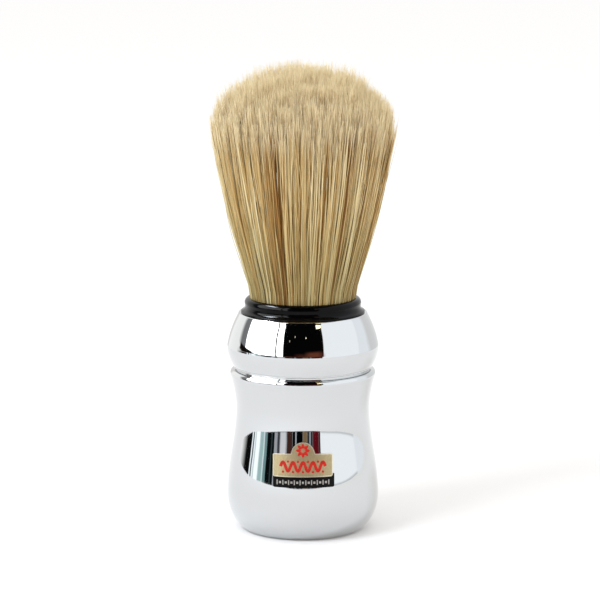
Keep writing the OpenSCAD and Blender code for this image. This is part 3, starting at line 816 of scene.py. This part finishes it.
def studio_drum():
    """What the plating mirrors: the near edge of the paper, then a pale room with a window, a lamp and
    dark stands, painted on a drum that only reflections see. Azimuth is in degrees from the front,
    positive towards +X, and elevation in degrees above eye_z."""
    radius = 0.42
    top = 0.93
    eye_z = 0.045
    low = -8  # foot of the things in the low band
    mid = 7.5  # the sill between the two bands
    ceiling = 60
    # Later ones cover earlier ones: (azimuth from, to, elevation from, to, edge softness, colour, strength)
    panels = [
        (-180, 180, -20, 90, 6, "#f4f4f6", 1.3),
        (-180, -150, -20, 90, 12, "#e8e6e4", 1.1),
        (-150, -104, -20, 90, 8, "#f1f1ef", 1.45),
        (28, 118, -20, 90, 3, "#eff2f5", 1.5),
        (92, 118, -20, 90, 3, "#e6eaee", 1.45),
        (118, 180, -20, 90, 10, "#e6e6e6", 1.15),
        # low band: what stands beyond the edge of the paper
        (-109, -80, -20, 4.0, 14, "#101011", 1.0),
        (-91, -60, -20, mid, 1.2, "#f4fbff", 1.7),
        (-89, -86, low, mid, 0.8, "#7f8789", 1.0),
        (-84, -82, low, mid, 1.5, "#dfeaec", 1.0),
        (-74, -66, low, mid, 2.5, "#b7d6d5", 1.1),
        (-65, -59, low, mid, 1.5, "#86a9aa", 1.0),
        (-60, -47, low, mid, 0.8, "#0c1112", 1.0),
        (-53, -51, low, mid, 0.8, "#3c4a4c", 1.0),
        (-47, -25, low, mid, 1.2, "#b9bcc2", 1.0),
        (-42, -38, low, mid, 1.5, "#4a4b50", 1.0),
        (-37, -28, low, mid, 1.5, "#e6e6ea", 1.15),
        (-26, -17, low, mid, 1, "#4b2f2a", 1.0),
        (-17, 0, low, mid, 0.8, "#07080a", 1.0),
        (-12.5, -10.5, low, mid, 0.6, "#c4ccd2", 1.0),
        (0, 7, low, mid, 1, "#8f7656", 1.0),
        (7, 16, low, mid, 1, "#33363a", 1.0),
        (10.5, 12.5, low, mid, 0.8, "#b9c0c6", 1.0),
        (16, 26, low, mid, 0.8, "#6c141e", 1.0),
        (26, 28.5, low, mid, 0.6, "#0b0b0c", 1.0),
        # the far edge of the paper
        (-62, 28.5, -20, -5.9, 2, "#17191a", 1.0),
        (29, 92, -20, -5.4, 2, "#e6e9ec", 1.0),
        # high band: window, curtain, the dark room behind the camera and its lamp
        (-112, -94, mid, ceiling, 8, "#8a8b8d", 1.0),
        (-95, -41, mid, 50, 1, "#ffffff", 6.0),
        (-95, -62, 50, ceiling, 1, "#eaf2ff", 60.0),
        (-41, -38.5, mid, 90, 0.6, "#2a2b2d", 1.0),
        (-38.5, -29, mid, ceiling, 0.6, "#ffffff", 5.0),
        (-29, 30, mid, 90, 0.7, "#060607", 1.0),
        (-27, -16, mid, 12, 3, "#5a5654", 1.0),
        (-10, 29, mid, 15, 9, "#4a261c", 1.0),
        (6, 26, mid, 17, 9, "#74402f", 1.0),
        (22, 29, 40, 46, 1.2, "#ffe2a0", 8.0),
        (29, 33, 42, 45, 1.2, "#ffe6b8", 3.0),
        (4, 4.7, 32, 33, 0.4, "#fff4d8", 5.0),
        (-12, -11.4, 33, 34, 0.4, "#fff4d8", 3.0),
        (-20, -19.4, 28, 29, 0.4, "#fff4d8", 2.5),
        # the sill between the two bands
        (-110, 29, 4.5, 8.8, 2.4, "#161110", 1.0),
        (-88, -50, 5.6, 6.6, 1.5, "#8a8c8c", 1.0),
        (-26, 24, 9.0, 11.5, 3, "#7c3d2e", 1.0),
        # the unlit ceiling
        (-180, 180, ceiling, 91, 3, "#0a0a0b", 1.0),
    ]
    columns = 1440
    band_top = 0.12
    profile = [(radius, z) for z in heights(0, band_top, 90) + heights(band_top, top, 110)[1:]]
    profile += [(r, top) for r in heights(radius, 0.001, 24)[1:]]
    profile = np.array(profile)
    a, reach = np.meshgrid(np.linspace(-180, 180, columns + 1), profile[:, 0])
    height = np.broadcast_to(profile[:, 1:], a.shape)
    # On the left the paper ends nearer to the brush.
    nearer = np.clip((-62 - a) / 30, 0, 1) * np.clip((a + 165) / 20, 0, 1)
    reach = reach * (1 - 0.15 * nearer)
    e = np.degrees(np.arctan2(height - eye_z, reach))
    glow = np.ones((*a.shape, 3))

    def fade(distance, soft):
        return np.clip(distance / soft + 0.5, 0, 1)

    # Above the sill, the room's edges lean outwards.
    leaning = a / (1 + 0.0053 * np.clip(e - mid, 0, 50))
    for a_from, a_to, e_from, e_to, soft, color, strength in panels:
        e_soft = min(max(0.3 * soft, 0.7), 5)
        inside = fade(e - e_from, e_soft) * fade(e_to - e, e_soft)
        if a_from > -180:
            inside = inside * fade(leaning - a_from, soft)
        if a_to < 180:
            inside = inside * fade(a_to - leaning, soft)
        light = np.array(srgb(color)[:3]) * strength
        glow += (light - glow) * inside[..., None]
    x = reach * np.sin(np.radians(a))
    y = FRONT * reach * np.cos(np.radians(a))
    verts = np.stack([x, y, height], axis=-1).reshape(-1, 3)
    row = columns + 1
    corner = (np.arange(len(profile) - 1)[:, None] * row + np.arange(columns)[None, :]).ravel()
    faces = np.stack([corner, corner + 1, corner + 1 + row, corner + row], axis=-1)
    mesh = bpy.data.meshes.new("studio_drum")
    mesh.from_pydata(verts.tolist(), [], faces.tolist())
    paint = mesh.attributes.new("glow", "FLOAT_VECTOR", "POINT")
    paint.data.foreach_set("vector", glow.reshape(-1, 3).astype(np.float32).ravel())
    drum = bpy.data.objects.new("studio_drum", mesh)
    bpy.context.scene.collection.objects.link(drum)
    # Light only, with the colour painted above.
    material, tree, out = new_material("studio_glow")
    light = add(tree, "ShaderNodeAttribute", {"attribute_name": "glow"})
    shader = add(tree, "ShaderNodeEmission", Color=light.outputs["Color"], Strength=1.0)
    tree.links.new(shader.outputs["Emission"], out.inputs["Surface"])
    mesh.materials.append(material)
    drum.visible_camera = False
    drum.visible_diffuse = False
    drum.visible_transmission = False
    drum.visible_shadow = False


def lights():
    """A white tent, with a soft window light from the upper left in front and a weak warm one opposite."""
    world = bpy.data.worlds.new("white_tent")
    bpy.context.scene.world = world
    world.use_nodes = True
    tent = world.node_tree.nodes["Background"]
    tent.inputs["Color"].default_value = (1, 1, 1, 1)
    tent.inputs["Strength"].default_value = 1.0
    target = Vector((0, 0, 0.07))
    for name, watts, color, place in (("window_light", 7.2, "#ecf3ff", (-0.75, -0.65, 0.95)),
                                      ("warm_fill", 0.7, "#ffd9ae", (0.9, -0.5, 0.5))):
        data = bpy.data.lights.new(name, "AREA")
        data.energy = watts
        data.size = 0.5
        data.color = srgb(color)[:3]
        light = bpy.data.objects.new(name, data)
        light.location = place
        light.rotation_euler = (target - light.location).to_track_quat("-Z", "Y").to_euler()
        light.visible_glossy = False
        bpy.context.scene.collection.objects.link(light)


def camera():
    """At arm's length in front, looking slightly down."""
    tilt_deg = 9.894
    data = bpy.data.cameras.new("camera")
    data.sensor_width = 36
    data.lens = 176.6
    eye = bpy.data.objects.new("camera", data)
    eye.location = (-0.0008, -0.8, 0.2036)
    eye.rotation_euler = (math.radians(90 - tilt_deg), 0, 0)
    bpy.context.scene.collection.objects.link(eye)
    bpy.context.scene.camera = eye


# ---------------------------------------------------------------- build

chrome = chromium_plate()
black = black_gloss_abs()
body = plated_body()
wear(body, chrome)
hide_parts("body_shell")
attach(body, "handle")

collar = plated_collar()
wear(collar, chrome)
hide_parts("collar_shell")
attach(collar, "handle")

ferrule = black_ferrule()
wear(ferrule, black)
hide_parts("ferrule")
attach(ferrule, "handle")

strip = label_backing_foil()
wear(strip, enamel_ink("black_label_lacquer", "#0c0a0a", 0.3, ior=1.2))
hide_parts("label_backing")
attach(strip, "handle")
panel = label_panel_foil()
wear(panel, stamped_brass_foil("stamped_brass_foil", "#a3946f", "#c0b18c", 0.42))
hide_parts("label_panel")
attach(panel, "handle")
rim = label_rim()
# The rim is a little glossier than the panel, and its paler colour is a painted highlight along the raised
# edge.
wear(rim, stamped_brass_foil("brass_rim_painted_highlight", "#cfc7ae", "#e6dfc8", 0.3))
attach(rim, "handle")
red_marks = label_red_marks()
silver_marks = label_silver_marks()
wear(red_marks, enamel_ink("red_enamel", "#cc2214", 0.4, ior=1.3))
wear(silver_marks, enamel_ink("silver_ink", "#a9a49e", 0.35))
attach(red_marks, "handle")
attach(silver_marks, "handle")

# Pieces that don't show keep their own shape, and get a finish.
hidden_finishes = {
    "base_cap": spark_eroded_abs(),
    "brass_insert": turned_metal("turned_brass", "#c9a35b", 0.3, 0.3),
    "tie_screw": turned_metal("zinc_plated_screw", "#b4b8bd", 0.3, 0.2),
    "washer": turned_metal("zinc_plated_washer", "#b0b4ba", 0.32, 0.2),
    "ballast_weight": turned_metal("turned_steel", "#9da1a6", 0.35, 0.4),
    "joint_seal": moulded_filler("nitrile_ring", "#1a1a1a", 0.6, 0.3),
    "neck_seal": moulded_filler("nitrile_sheet", "#1c1c1c", 0.7, 0.3),
    "resin_plug": moulded_filler("amber_resin", "#9a6a2c", 0.25, 2.0),
    "binding_cord": moulded_filler("waxed_cord", "#d8ceb4", 0.8, 0.2),
}
for node_name, material in hidden_finishes.items():
    node = frame["nodes"][node_name]
    node.data.materials.clear()
    node.data.materials.append(material)

bristle = bleached_boar_bristle()
packed = packed_bristle_shade()
root_z = mouth_z - 2.5 * MM

pieces_low, pieces_high = [], []
# (angle, share of the radius) of the bristles that are dark from root to tip
dark_places = [(238, 0.985), (226, 0.995), (305, 0.98), (343, 0.995), (338, 0.985), (290, 0.98),
               (281, 0.975), (252, 0.98), (150, 0.985), (120, 0.98), (75, 0.985), (30, 0.985), (200, 0.985)]
# Full-length bristles, from the outside in: (count, inner, outer, tone, thickness, dark ones). The
# lower tone of the inner rings is painted shade of the bundle's depth.
rings = [(1250, 0.93, 1.0, 0.66, 0.15 * MM, dark_places), (1800, 0.86, 0.95, 0.45, 0.135 * MM, ()),
         (1900, 0.76, 0.88, 0.24, 0.13 * MM, ())]
for ring, (count, inner, outer, tone, thick, darks) in enumerate(rings):
    seed = sow(count, inner, outer, tone, thick, 2.6 * MM, dark_at=darks)
    pieces_low.append(grow(f"bristles_low_{ring}", seed, root_z, split_z, 6))
    pieces_high.append(grow(f"bristles_high_{ring}", seed, split_z, None, 11))
# Loose fine bristles that stray across the others on the outside.
seed = sow(340, 0.965, 1.0, 0.7, 0.08 * MM, 2.0 * MM)
seed["to_wisp"] *= 0.25
seed["to_strand"] *= 0
seed["lean"] *= 1.9
seed["wave"] *= 2.2
pieces_low.append(grow("bristles_low_loose", seed, root_z, split_z, 7))
pieces_high.append(grow("bristles_high_loose", seed, split_z, None, 12))
# Further in, only the tips show.
for batch in range(3):
    seed = sow(4400, 0.0, 0.96, 0.6, 0.12 * MM, 1.7 * MM)
    pieces_high.append(grow(f"bristle_tips_{batch}", seed, seed["top"] - 22 * MM, None, 6))
# Split ends: the finest, palest and most curled.
seed = sow(7500, 0.0, 0.93, 0.8, 0.06 * MM, 0.7 * MM, dark_share=0)
seed["curl"] *= 2
pieces_high.append(grow("bristle_flags", seed, seed["top"] - 10 * MM, None, 4))
pieces_low.append(core("bristle_core_low", root_z, split_z, 8, (0.74, 0.74), domed=False))
pieces_high.append(core("bristle_core_high", split_z, fan_z - 8.5 * MM, 14, (0.74, 0.83), domed=True))

for piece in pieces_low:
    wear(piece, packed if "core" in piece.name else bristle)
    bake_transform(piece)
for piece in pieces_high:
    wear(piece, packed if "core" in piece.name else bristle)
    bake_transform(piece)
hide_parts("bristle_roots")
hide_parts("bristle_shank")
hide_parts("bristle_crown")

floor()
studio_drum()
lights()
camera()
bpy.context.scene.view_settings.view_transform = "Standard"
